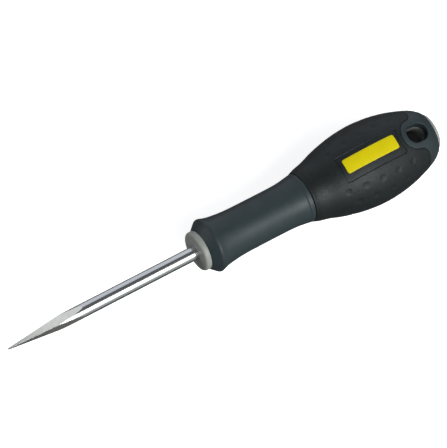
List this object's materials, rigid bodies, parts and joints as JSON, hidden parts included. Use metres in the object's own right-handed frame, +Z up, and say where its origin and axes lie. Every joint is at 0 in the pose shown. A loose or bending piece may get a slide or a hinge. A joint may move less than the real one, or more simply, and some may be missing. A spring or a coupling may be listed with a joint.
{
  "type": "scratch awl",
  "caption": "Square-pointed steel scratch awl with a moulded three-shot handle, soft grip sleeve and a hanging hole through its rear end.",
  "frame": {"origin": "middle of the tool's length, under its axis, on the surface that the handle lies on", "axes": "+X along the tool's axis from the point to the rear end, +Z up through the label plate and along the hanging hole"},
  "size_m": [0.175, 0.0306, 0.0294],
  "materials": {
    "blade_steel": "ground and polished",
    "core_plastic": "satin",
    "body_plastic": "satin",
    "grip_rubber": "fine matt texture",
    "label_yellow": "semi-gloss"
  },
  "bodies": {
    "root": {"blade": "blade_steel", "handle_core": "core_plastic", "handle_body": "body_plastic", "soft_grip": "grip_rubber", "label_plate": "label_yellow"}
  },
  "joints": []
}
